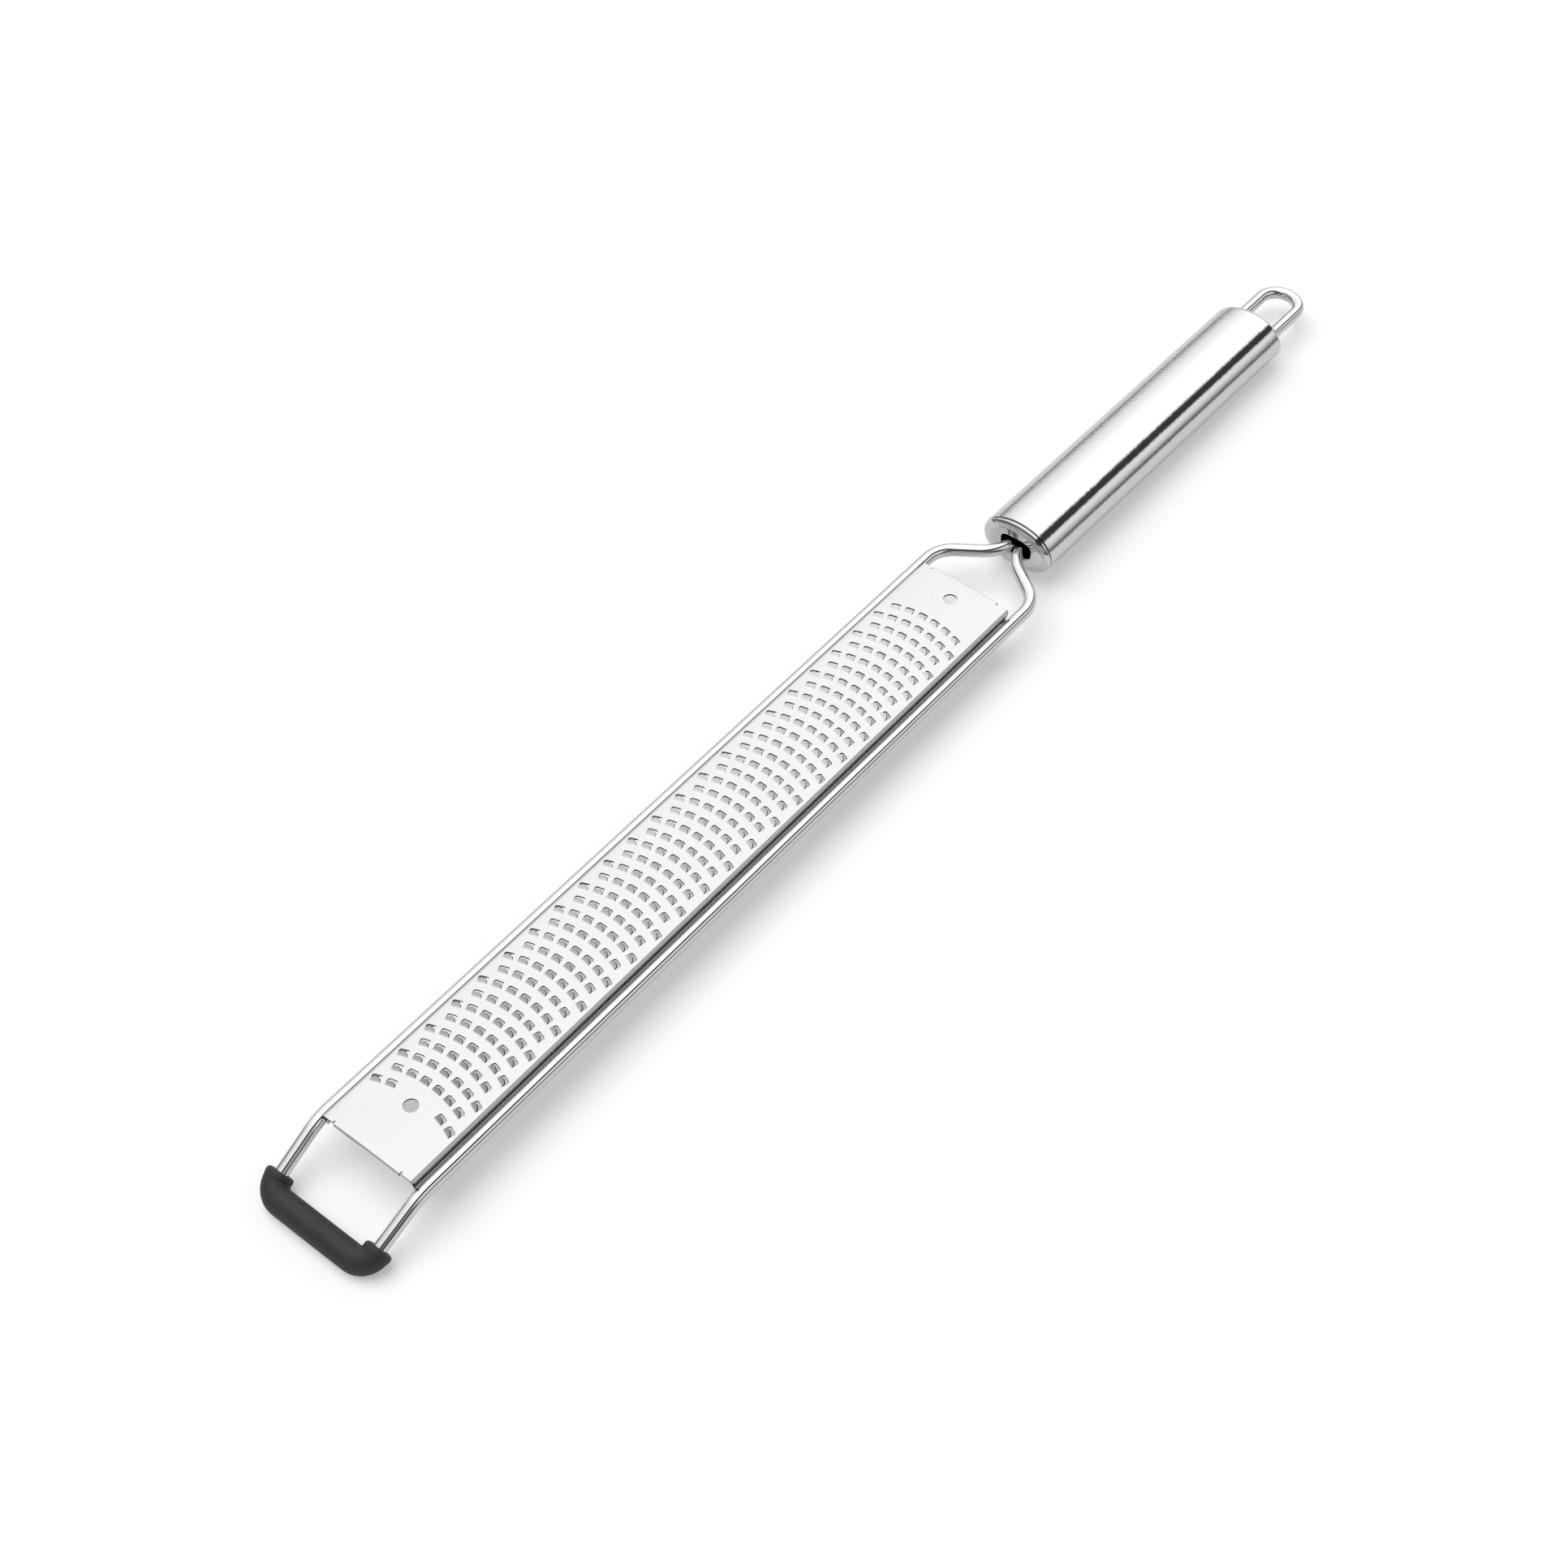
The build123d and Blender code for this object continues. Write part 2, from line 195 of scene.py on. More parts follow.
class ZesterHandle(bpy.types.PropertyGroup):
    """Sizes and colours of the handle tube and its two caps."""

    from_blade: size("From blade", 24.0, "From the blade's handle end to the tube's mouth")
    below_blade: size("Below blade", 3.63, "From the blade's top to the tube's middle at its mouth")
    droop: turn("Droop", 1.09, "How far the tube leans below the blade's plane")
    half_width: size("Half width", 11.0, "Half the oval's width")
    half_height: size("Half height", 7.55, "Half the oval's height")
    length: size("Length", 113.9, "From the tube's mouth to its end")
    wall: size("Wall", 0.8, "Thickness of the tube")
    mouth_edge: size("Mouth edge", 0.15, "How far the edges of the tube's mouth are broken")
    shoulder: size("Shoulder radius", 2.2, "Radius of the rounded-in rear edge")
    rear_edge: size("Rear edge", 0.1, "How far the edge of the rear opening is broken")
    rear_bevel: size("Rear bevel", 0.5, "How far that opening widens towards the inside")
    cap_wall: size("Cap thickness", 0.3, "Thickness of the front cap's sheet")
    skirt: size("Skirt depth", 5.0, "How far the front cap's skirt reaches into the tube")
    skirt_bend: size("Skirt bend", 0.3, "Where the skirt starts to bend outwards, inside the mouth")
    bead_inset: size("Bead inset", 0.62, "From the tube's outside to the foot of the cap's bead")
    bead_gap: size("Bead gap", 0.05, "Between the mouth and the foot of the bead")
    face: size("Face rise", 1.8, "How far the front cap's face stands out of the mouth")
    face_inset: size("Face inset", 3.5, "From the tube's outside to the flat of the cap's face")
    slot_half_width: size("Slot half width", 4.8, "Half the width of the slot for the wires")
    slot_half_height: size("Slot half height", 2.8, "Half the height of the slot")
    slot_roll: size("Slot roll", 0.75, "Radius of the slot's rolled-in edge")
    slot_depth: size("Slot depth", 2.5, "How far the slot's walls reach into the mouth")
    slot_power: FloatProperty(
        name="Slot squareness", description="2 makes an oval slot, more a squarer one", default=3.2
    )
    plate: size("Plate depth", 1.6, "How far the rear plate reaches into the tube")
    plate_gap: size("Plate gap", 0.08, "Between the tube's rear edge and the plate")
    plate_edge: size("Plate edge", 0.15, "Radius of the plate's edge")
    plate_sink: size("Plate sink", 0.12, "How far the plate's face lies below its rim")
    loop_hole_gap: size("Loop hole gap", 0.04, "Between the loop's legs and their holes")
    steel: paint("Tube steel", "#D2D2D2", "Colour of the brushed tube")
    cap_steel: paint("Cap steel", "#D0D0D0", "Colour of the polished caps")
    plug_steel: paint("Plug steel", "#9A9A98", "Colour of the hidden plug")


class ZesterStage(bpy.types.PropertyGroup):
    """The table, the light and the camera."""

    table: paint("Table", "#E0E0E0", "Colour of the table")
    table_size: FloatProperty(
        name="Table size", description="Width of the table", default=4.0, unit="LENGTH"
    )
    table_glow: FloatProperty(
        name="Table glow", description="What the table shows beyond its own light", default=0.3
    )
    glow_mirrored: FloatProperty(
        name="Glow in metal", description="Share of that glow that metal mirrors", default=0.5
    )
    softbox: FloatProperty(name="Softbox", description="Strength of the softboxes above", default=1.55)
    room_shade: FloatProperty(
        name="Room shade", description="Level of the dark room between the softboxes", default=0.03
    )
    even_light: FloatProperty(
        name="Even light", description="Level of the light that falls on matt things", default=0.42
    )
    room_light: FloatProperty(name="Room light", description="Strength of the room's light", default=1.8)
    room_light_turn: FloatVectorProperty(
        name="Room light turn", description="How the room's light is turned from straight down",
        subtype="EULER", default=(radians(6), radians(-17), 0),
    )
    room_light_spread: turn("Room light spread", 60, "How broad the room's light is")
    eye: FloatVectorProperty(
        name="Camera place", description="Where the camera stands", subtype="TRANSLATION",
        default=(0.279484, -0.366180, 0.531121), precision=5,
    )
    aim: FloatVectorProperty(
        name="Camera turn", description="How the camera is turned", subtype="EULER",
        default=(radians(39.448015), radians(0.646132), radians(39.258308)),
    )
    film: FloatProperty(
        name="Film width", description="Width of the camera's square frame", default=36, unit="CAMERA"
    )
    lens: FloatProperty(
        name="Lens", description="Focal length for that width", default=62.30981, unit="CAMERA"
    )


# Modelling helpers


def rest_place():
    """The place of the level drawing in the frame, with the tool resting on foot and handle."""
    return Matrix.Translation((0, REST_FORWARD, REST_HEIGHT)) @ Matrix.Rotation(-REST_LEAN, 4, "X")


def handle_place(handle):
    """The place of the handle's own drawing: its mouth at zero, +Y along the tube."""
    mouth = Matrix.Translation((0, handle.from_blade, -handle.below_blade))
    return mouth @ Matrix.Rotation(-handle.droop, 4, "X")


def deselect_all():
    """Leaves edit mode and selects nothing."""
    if bpy.context.object and bpy.context.object.mode != "OBJECT":
        bpy.ops.object.mode_set(mode="OBJECT")
    bpy.ops.object.select_all(action="DESELECT")


def pick(piece, *others):
    """Selects these objects alone, the first one active."""
    deselect_all()
    for each in (piece, *others):
        each.select_set(True)
    bpy.context.view_layer.objects.active = piece


def edit(piece, kind="VERT"):
    """Opens a piece in edit mode with all of it selected."""
    pick(piece)
    bpy.ops.object.mode_set(mode="EDIT")
    bpy.ops.mesh.select_mode(type=kind)
    bpy.ops.mesh.select_all(action="SELECT")


def select_where(kind, test):
    """In edit mode, selects the vertices, edges or faces whose place passes a test."""
    bpy.ops.mesh.select_all(action="DESELECT")
    bpy.ops.mesh.select_mode(type=kind)
    mesh = bmesh.from_edit_mesh(bpy.context.object.data)
    if kind == "VERT":
        chosen = [part for part in mesh.verts if test(part.co)]
    elif kind == "EDGE":
        chosen = [part for part in mesh.edges if all(test(end.co) for end in part.verts)]
    else:
        chosen = [part for part in mesh.faces if test(part.calc_center_median())]
    for part in chosen:
        part.select_set(True)
    mesh.select_flush_mode()
    bmesh.update_edit_mesh(bpy.context.object.data)
    if not chosen:
        raise RuntimeError(f"nothing to select on {bpy.context.object.name}")


def push(move):
    """Extrudes the selected edges by a move."""
    bpy.ops.mesh.extrude_region_move(TRANSFORM_OT_translate={"value": move})


def swing(centre, axis, angle, steps):
    """Extrudes the selected edges round an axis."""
    bpy.ops.mesh.spin(steps=steps, angle=-angle, center=centre, axis=axis)


def widen(factor, centre):
    """Scales the selection about a centre."""
    bpy.ops.transform.resize(value=factor, center_override=centre)


def modify(piece, kind, **settings):
    """Adds a modifier with its settings and applies it."""
    pick(piece)
    modifier = piece.modifiers.new(kind.title(), kind)
    for name, value in settings.items():
        setattr(modifier, name, value)
    bpy.ops.object.modifier_apply(modifier=modifier.name)


def freeze(piece):
    """Writes a piece's place, turn and size into its mesh."""
    pick(piece)
    bpy.ops.object.transform_apply(location=True, rotation=True, scale=True)


def stand_on_edge(piece, angle):
    """Turns a piece's mesh round Y."""
    piece.rotation_euler = (0, angle, 0)
    freeze(piece)


def face_towards(way):
    """In edit mode, makes an open sheet's faces agree, most of them looking this way."""
    bpy.ops.mesh.select_all(action="SELECT")
    bpy.ops.mesh.normals_make_consistent(inside=False)
    mesh = bmesh.from_edit_mesh(bpy.context.object.data)
    if sum(face.normal.dot(way) * face.calc_area() for face in mesh.faces) < 0:
        bpy.ops.mesh.flip_normals()


def settle(piece, name, node, material, place, sharp=35):
    """Finishes a piece: its place in its mesh, its shading, its finish and the node it stands for."""
    edit(piece)
    bpy.ops.mesh.remove_doubles(threshold=WELD)
    bpy.ops.mesh.normals_make_consistent(inside=False)
    deselect_all()
    piece.matrix_world = place @ piece.matrix_world
    freeze(piece)
    bpy.ops.object.shade_smooth_by_angle(angle=radians(sharp))
    piece.name = piece.data.name = name
    if material:
        piece.data.materials.clear()
        piece.data.materials.append(material)
    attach(piece, "root")
    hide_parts(node)
    return piece


def corner_path(points, bends):
    """Each corner of a bent wire as (start of bend, centre, axis, angle, end of bend)."""
    way = (points[1] - points[0]).normalized()
    for corner, after, bend in zip(points[1:-1], points[2:], bends):
        onward = (after - corner).normalized()
        angle = way.angle(onward)
        reach = bend * tan(angle / 2)
        inward = (onward - way * way.dot(onward)).normalized()
        start, end = corner - way * reach, corner + onward * reach
        yield start, start + inward * bend, way.cross(onward).normalized(), angle, end
        way = onward


def ring(radius, place, way, sides=28):
    """A ring round a wire's middle, opened in edit mode with its edges selected."""
    deselect_all()
    bpy.ops.mesh.primitive_circle_add(
        vertices=sides, radius=radius, location=place, rotation=way.to_track_quat("Z", "Y").to_euler()
    )
    edit(bpy.context.object, "EDGE")
    return bpy.context.object


def follow(points, bends, degrees_a_step=6):
    """Pushes the selected ring along each run and swings it round each bend."""
    here = points[0]
    for start, centre, axis, angle, end in corner_path(points, bends):
        if (start - here).length > NEAR:
            push(start - here)
        swing(centre, axis, angle, ceil(angle / radians(degrees_a_step)))
        here = end
    if (points[-1] - here).length > NEAR:
        push(points[-1] - here)


def oval_rings(handle, profile, sides=112):
    """Oval rings along the handle, each (place along it, inset from the tube's outside)."""
    deselect_all()
    bpy.ops.mesh.primitive_circle_add(vertices=sides, radius=1, rotation=(pi / 2, 0, 0))
    piece = bpy.context.object
    freeze(piece)
    edit(piece, "EDGE")
    place, inset = profile[0]
    across, up = handle.half_width - inset, handle.half_height - inset
    bpy.ops.transform.resize(value=(across, 1, up), center_override=(0, 0, 0))
    bpy.ops.transform.translate(value=(0, place, 0))
    for next_place, next_inset in profile[1:]:
        push((0, next_place - place, 0))
        next_across, next_up = handle.half_width - next_inset, handle.half_height - next_inset
        widen((next_across / across, 1, next_up / up), (0, next_place, 0))
        place, across, up = next_place, next_across, next_up
    return piece


def quarter(start, end, steps, rise_first):
    """Points of a rounded corner between two (place, inset) points, without the first."""
    points = []
    for step in range(1, steps + 1):
        angle = pi / 2 * step / steps
        along, aside = (sin(angle), 1 - cos(angle)) if rise_first else (1 - cos(angle), sin(angle))
        points.append((start[0] + (end[0] - start[0]) * along, start[1] + (end[1] - start[1]) * aside))
    return points


def curled(start, runs, steps=5):
    """Points of a rolled (place, inset) profile, from runs of (first angle, last angle, mm).

    At 0 degrees it goes straight out of the mouth, at 90 straight inwards.
    """
    points, (along, inset) = [], start
    for first, last, length in runs:
        for step in range(steps):
            angle = radians(first + (last - first) * (step + 0.5) / steps)
            along -= length * MM / steps * cos(angle)
            inset += length * MM / steps * sin(angle)
            points.append((along, inset))
    return points


# Materials


def node(tree, kind, settings=None, **links):
    """Adds a shader node with its settings, and sets or links its inputs by name or, as _0, number."""
    made = tree.nodes.new(kind)
    for name, value in (settings or {}).items():
        setattr(made, name, value)
    for name, value in links.items():
        socket = made.inputs[int(name[1:]) if name[1:].isdigit() else name.replace("_", " ")]
        if isinstance(value, bpy.types.NodeSocket):
            tree.links.new(value, socket)
        else:
            socket.default_value = value
    return made


def finish(name):
    """A new material whose tree holds only its output."""
    material = bpy.data.materials.new(name)
    material.use_nodes = True
    tree = material.node_tree
    tree.nodes.clear()
    return material, tree, tree.nodes.new("ShaderNodeOutputMaterial")


def surface(tree, output, **looks):
    """Gives a material's output a principled shader with these looks."""
    shader = node(tree, "ShaderNodeBsdfPrincipled", **looks)
    tree.links.new(shader.outputs[0], output.inputs["Surface"])


def four(colour):
    """A colour with full alpha."""
    return (*colour, 1.0)


def sheared_edge_painted_shade(colour):
    """Wall left by the punch: rough steel, drawn dark by choice as painted shade, so that each tooth's
    outline reads.
    """
    material, tree, output = finish("stainless_edge_sheared_painted_shade")
    place = node(tree, "ShaderNodeTexCoord").outputs["Object"]
    # Tear marks down the wall, 0.1 mm apart
    torn = node(tree, "ShaderNodeTexNoise", Vector=place, Scale=10000.0, Detail=2.0).outputs["Fac"]
    dull = node(tree, "ShaderNodeMapRange", Value=torn, To_Min=0.3, To_Max=0.6).outputs[0]
    surface(tree, output, Base_Color=four(colour), Metallic=1.0, Roughness=dull)
    return material


def rolled_satin_sheet(colour):
    """Cold rolled stainless sheet with a satin finish: soft, even sheen with a faint long grain."""
    material, tree, output = finish("stainless_sheet_satin_rolled")
    place = node(tree, "ShaderNodeTexCoord").outputs["Object"]
    # Rolling grain, 0.25 mm wide and 12.5 mm long, drawn coarser than the real 0.05 mm
    along = node(tree, "ShaderNodeMapping", Vector=place, Scale=(4000, 80, 4000)).outputs[0]
    grain = node(tree, "ShaderNodeTexNoise", Vector=along, Scale=1.0, Detail=3.0).outputs["Fac"]
    # Slow waves of a thin sheet, 30 mm across
    wave = node(tree, "ShaderNodeTexNoise", Vector=place, Scale=33.0, Detail=1.0).outputs["Fac"]
    bump = node(tree, "ShaderNodeBump", Strength=0.05, Distance=0.00002, Height=grain)
    bump = node(
        tree, "ShaderNodeBump", Strength=0.1, Distance=0.0002, Height=wave, Normal=bump.outputs[0]
    )
    dull = node(tree, "ShaderNodeMapRange", Value=grain, To_Min=0.13, To_Max=0.22).outputs[0]
    surface(tree, output, Base_Color=four(colour), Metallic=1.0, Roughness=dull, Normal=bump.outputs[0])
    return material


def polished_drawn_wire(colour):
    """Drawn stainless wire, polished: a mirror with a faint haze."""
    material, tree, output = finish("stainless_wire_drawn_polished")
    place = node(tree, "ShaderNodeTexCoord").outputs["Object"]
    # Pits and polishing haze, 0.8 mm apart
    haze = node(tree, "ShaderNodeTexNoise", Vector=place, Scale=1250.0, Detail=2.0).outputs["Fac"]
    dull = node(tree, "ShaderNodeMapRange", Value=haze, To_Min=0.02, To_Max=0.06).outputs[0]
    bump = node(tree, "ShaderNodeBump", Strength=0.03, Distance=0.00002, Height=haze)
    surface(tree, output, Base_Color=four(colour), Metallic=1.0, Roughness=dull, Normal=bump.outputs[0])
    return material


def girth_brushed_tube(colour, lean):
    """Stainless tube brushed round its girth: reflections stay crisp across it and streak along it."""
    material, tree, output = finish("stainless_tube_brushed_round")
    place = node(tree, "ShaderNodeTexCoord").outputs["Object"]
    level = node(tree, "ShaderNodeMapping", Vector=place, Rotation=(lean, 0, 0)).outputs[0]
    # Brush lines round the tube, 0.3 mm apart, drawn coarser than the real 0.05 mm
    lines = node(tree, "ShaderNodeMapping", Vector=level, Scale=(90, 3300, 90)).outputs[0]
    brushed = node(tree, "ShaderNodeTexNoise", Vector=lines, Scale=1.0, Detail=4.0).outputs["Fac"]
    dull = node(tree, "ShaderNodeMapRange", Value=brushed, To_Min=0.06, To_Max=0.14).outputs[0]
    bump = node(tree, "ShaderNodeBump", Strength=0.12, Distance=0.00003, Height=brushed)
    # Each line wanders a little round the tube, over 3 mm: the dark stripe's edge turns ragged
    strokes = node(tree, "ShaderNodeMapping", Vector=level, Scale=(330, 2600, 330)).outputs[0]
    ragged = node(tree, "ShaderNodeTexNoise", Vector=strokes, Scale=1.0, Detail=2.0).outputs["Fac"]
    bump = node(
        tree, "ShaderNodeBump", Strength=1.0, Distance=0.00006, Height=ragged, Normal=bump.outputs[0]
    )
    surface(tree, output, Base_Color=four(colour), Metallic=1.0, Roughness=dull, Normal=bump.outputs[0])
    return material


def pressed_polished_cap(colour):
    """Pressed stainless cap, buffed: a mirror with the soft waves that pressing leaves."""
    material, tree, output = finish("stainless_cap_pressed_buffed")
    place = node(tree, "ShaderNodeTexCoord").outputs["Object"]
    # Pressing waves, 3 mm across
    wave = node(tree, "ShaderNodeTexNoise", Vector=place, Scale=330.0, Detail=1.5).outputs["Fac"]
    dull = node(tree, "ShaderNodeMapRange", Value=wave, To_Min=0.04, To_Max=0.1).outputs[0]
    bump = node(tree, "ShaderNodeBump", Strength=0.15, Distance=0.0001, Height=wave)
    surface(tree, output, Base_Color=four(colour), Metallic=1.0, Roughness=dull, Normal=bump.outputs[0])
    return material


def sawn_steel(colour):
    """Bare steel as sawn: grey, with coarse marks."""
    material, tree, output = finish("steel_bare_sawn")
    place = node(tree, "ShaderNodeTexCoord").outputs["Object"]
    # Saw marks, 0.5 mm apart
    marks = node(tree, "ShaderNodeTexNoise", Vector=place, Scale=2000.0, Detail=2.0).outputs["Fac"]
    dull = node(tree, "ShaderNodeMapRange", Value=marks, To_Min=0.4, To_Max=0.6).outputs[0]
    surface(tree, output, Base_Color=four(colour), Metallic=1.0, Roughness=dull)
    return material


def moulded_rubber(colour):
    """Moulded black rubber, matt: a soft grey sheen broken by fine mould texture and dust."""
    material, tree, output = finish("rubber_moulded_matt")
    place = node(tree, "ShaderNodeTexCoord").outputs["Object"]
    # Mould texture, grains 0.35 mm apart
    grain = node(tree, "ShaderNodeTexNoise", Vector=place, Scale=2900.0, Detail=3.0).outputs["Fac"]
    # Wear and finger marks, 6 mm across, up to 1.9 times as pale
    wear = node(tree, "ShaderNodeTexNoise", Vector=place, Scale=170.0, Detail=3.0).outputs["Fac"]
    worn = [min(1, part * 1.9) for part in colour]
    tone = node(
        tree, "ShaderNodeMix", {"data_type": "RGBA"}, Factor=wear, _6=four(colour), _7=four(worn)
    ).outputs[2]
    dull = node(tree, "ShaderNodeMapRange", Value=grain, To_Min=0.5, To_Max=0.72).outputs[0]
    bump = node(tree, "ShaderNodeBump", Strength=0.35, Distance=0.00006, Height=grain)
    surface(tree, output, Base_Color=tone, Roughness=dull, IOR=1.52, Normal=bump.outputs[0])
    return material


# Operators, one for each piece or pair of pieces


def hole_places(blade):
    """Where each punched hole lies, turned with its arc."""
    places = []
    for row in range(blade.rows):
        count = blade.row_holes + row % 2
        for index in range(count):
            steps = index - (count - 1) / 2
            if row == blade.rows - 1 and abs(steps) < blade.last_row_gap / 2:
                continue
            angle = steps * blade.hole_step / blade.row_radius
            back = blade.row_radius * (1 - cos(angle))
            y = -blade.first_row - row * blade.row_pitch - back
            middle = Matrix.Translation((blade.row_radius * sin(angle), y, 0))
            places.append(middle @ Matrix.Rotation(-angle, 4, "Z"))
    return places


def punched_tooth(blade):
    """One hole's rim with its tongue: a plane with two rounded corners and one edge pulled in."""
    deselect_all()
    bpy.ops.mesh.primitive_plane_add(size=1)
    tooth = bpy.context.object
    half_width, half_length = blade.hole_width / 2, blade.hole_length / 2
    edit(tooth)
    bpy.ops.transform.resize(value=(blade.hole_width, blade.hole_length, 1))
    select_where("VERT", lambda co: co.y > 0)
    bpy.ops.mesh.bevel(offset=blade.hole_corner, segments=3, affect="VERTICES")
    select_where("EDGE", lambda co: co.y < -half_length * 0.99)
    bpy.ops.mesh.subdivide(number_cuts=3)
    select_where("EDGE", lambda co: co.y < -half_length * 0.99)
    # Steps up the tongue: share of its length, share of its angle, narrowing from the step before
    here = 0.0
    for share, angle_share, narrow in ((0.1, 0.5, 0.98), (0.25, 0.9, 0.97), (0.7, 1.0, 0.88)):
        length = blade.tongue * (share - here)
        angle = blade.tongue_turn * angle_share
        push((0, length * cos(angle), length * sin(angle)))
        widen((narrow, 1, 1), (0, 0, 0))
        here = share
    # Round tip: narrower still, its middle reaches on and its sides stay behind
    length = blade.tongue * (1 - here)
    push((0, length * cos(blade.tongue_turn), length * sin(blade.tongue_turn)))
    widen((0.6, 1, 1), (0, 0, 0))
    mesh = bmesh.from_edit_mesh(tooth.data)
    for vert in mesh.verts:
        if vert.select:
            behind = (vert.co.x / half_width) ** 2 * length * 2
            vert.co.y -= behind * cos(blade.tongue_turn)
            vert.co.z -= behind * sin(blade.tongue_turn)
    bmesh.update_edit_mesh(tooth.data)
    select_where("FACE", lambda co: abs(co.z) < IN_PLANE and abs(co.y) < half_length / 2)
    bpy.ops.mesh.delete(type="ONLY_FACE")
    return tooth


def stamp(pattern, places):
    """Copies a piece to each place, each copy with its own mesh, and returns the copies."""
    copies = []
    for place in places:
        copy = pattern.copy()
        copy.data = pattern.data.copy()
        copy.matrix_world = place
        bpy.context.scene.collection.objects.link(copy)
        copies.append(copy)
    return copies


class ZESTER_OT_blade(bpy.types.Operator):
    """Model the arched blade with its punched teeth, flanges and lips"""

    bl_idname = "zester.blade"
    bl_label = "Blade"

    def execute(self, context):
        blade = context.scene.zester_blade
        flat = blade.half_width - blade.edge_radius
        deselect_all()
        bpy.ops.mesh.primitive_plane_add(size=1, location=(0, -blade.length / 2, 0))
        sheet = context.object
        sheet.scale = (2 * flat, blade.length, 1)
        freeze(sheet)
        # The notches at the four corners
        edit(sheet)
        notch_end = blade.lip_half_width + blade.notch_width
        for across in (blade.lip_half_width, notch_end):
            for side in (-1, 1):
                bpy.ops.mesh.select_all(action="SELECT")
                bpy.ops.mesh.bisect(plane_co=(side * across, 0, 0), plane_no=(1, 0, 0))
        for along in (blade.notch_depth, blade.length - blade.notch_depth):
            bpy.ops.mesh.select_all(action="SELECT")
            bpy.ops.mesh.bisect(plane_co=(0, -along, 0), plane_no=(0, 1, 0))
        select_where("FACE", lambda co: (
            blade.lip_half_width < abs(co.x) < notch_end
            and not -blade.length + blade.notch_depth < co.y < -blade.notch_depth
        ))
        bpy.ops.mesh.delete(type="FACE")
        bpy.ops.mesh.select_all(action="SELECT")
        bpy.ops.mesh.dissolve_faces()
        bpy.ops.mesh.delete(type="ONLY_FACE")

        tooth = punched_tooth(blade)
        deselect_all()
        teeth = stamp(tooth, hole_places(blade))
        rings = []
        for y in (-blade.round_from_handle, blade.round_from_foot - blade.length):
            bpy.ops.mesh.primitive_circle_add(vertices=40, radius=blade.round_hole, location=(0, y, 0))
            rings.append(context.object)
        bpy.data.objects.remove(tooth)
        pick(sheet, *teeth, *rings)
        bpy.ops.object.join()
        # Fill the sheet between its outline and the holes. The fill isn't reliable with so many
        # holes: at one of them, in the left column, it folds a few slivers over each other. After
        # a change to the blade, its edges and its volume have to be checked again
        edit(sheet, "EDGE")
        select_where("EDGE", lambda co: abs(co.z) < IN_PLANE)
        bpy.ops.mesh.fill(use_beauty=True)
        bpy.ops.mesh.select_all(action="SELECT")
        bpy.ops.mesh.remove_doubles(threshold=WELD / 2)
        last_cut = int(flat / blade.arch_strip)
        for cut in range(-last_cut, last_cut + 1):
            bpy.ops.mesh.select_all(action="SELECT")
            bpy.ops.mesh.bisect(plane_co=(cut * blade.arch_strip, 0, 0), plane_no=(1, 0, 0))
        face_towards(Vector((0, 0, 1)))
        # Flanges and lips, bent down from the sheet's edges
        for side in (-1, 1):
            select_where("EDGE", lambda co: side * co.x > flat - NEAR)
            swing((side * flat, 0, -blade.edge_radius), (0, 1, 0), side * pi / 2, 6)
            push((0, 0, blade.edge_radius - blade.flange))
        # The flanges' lower corners are trimmed back
        for y, back in ((0, -blade.trim), (-blade.length, blade.trim)):
            select_where("VERT", lambda co: co.z < -blade.lip * 2 and abs(co.y - y) < NEAR)
            bpy.ops.transform.translate(value=(0, back, 0))
        for y, side in ((0, 1), (-blade.length, -1)):
            select_where("EDGE", lambda co: (
                abs(co.y - y) < NEAR and abs(co.x) < blade.lip_half_width + NEAR
            ))
            swing((0, y, -blade.lip_bend), (1, 0, 0), -side * pi / 2, 4)
            push((0, 0, blade.lip_bend - blade.lip))
        sheet.data.materials.append(rolled_satin_sheet(blade.steel))
        # The second finish goes on every rim of the solid sheet; its dark colour is painted shade
        sheet.data.materials.append(sheared_edge_painted_shade(blade.cut_steel_painted_shade))
        modify(
            sheet, "SOLIDIFY", thickness=blade.thickness, offset=-1, use_even_offset=True,
            material_offset_rim=1,
        )
        # Arched across: the modifier bends what runs along Z, so the sheet stands on edge for it
        stand_on_edge(sheet, -pi / 2)
        modify(sheet, "SIMPLE_DEFORM", deform_method="BEND", deform_axis="Y", angle=blade.camber)
        stand_on_edge(sheet, pi / 2)
        settle(sheet, "blade_sheet", "grater_blade", None, rest_place(), sharp=30)
        return {"FINISHED"}


def frame_points(wire, handle):
    """One half of the hairpin's corners, from the tail to the middle of the cross-bar."""
    fall = wire.front_slope
    place = handle_place(handle)
    tail = place @ Vector((wire.tail_from_middle, wire.tail_depth, 0))
    throat = place @ Vector((wire.tail_from_middle, -wire.throat, 0))
    shoulder = Vector((wire.beside, wire.shoulder, -wire.below))
    bend = Vector((wire.beside, -bpy.context.scene.zester_blade.length, -wire.below))
    leg = Vector((-wire.toe_in, -wire.front_leg * cos(fall), -wire.front_leg * sin(fall)))
    middle = bend + leg
    middle.x = 0
    return [tail, throat, shoulder, bend, bend + leg, middle]


class ZESTER_OT_wire_frame(bpy.types.Operator):
    """Bend the hairpin frame from polished wire"""

    bl_idname = "zester.wire_frame"
    bl_label = "Wire frame"

    def execute(self, context):
        wire = context.scene.zester_wire
        points = frame_points(wire, context.scene.zester_handle)
        half = ring(wire.radius, points[0], points[1] - points[0])
        follow(points, [wire.throat_bend, wire.shoulder_bend, wire.front_bend, wire.foot_bend])
        freeze(half)
        modify(half, "MIRROR", merge_threshold=SEAM)
        edit(half)
        bpy.ops.mesh.fill_holes(sides=0)
        settle(
            half, "frame_wire", "wire_frame", polished_drawn_wire(wire.steel),
            rest_place(), sharp=50,
        )
        return {"FINISHED"}


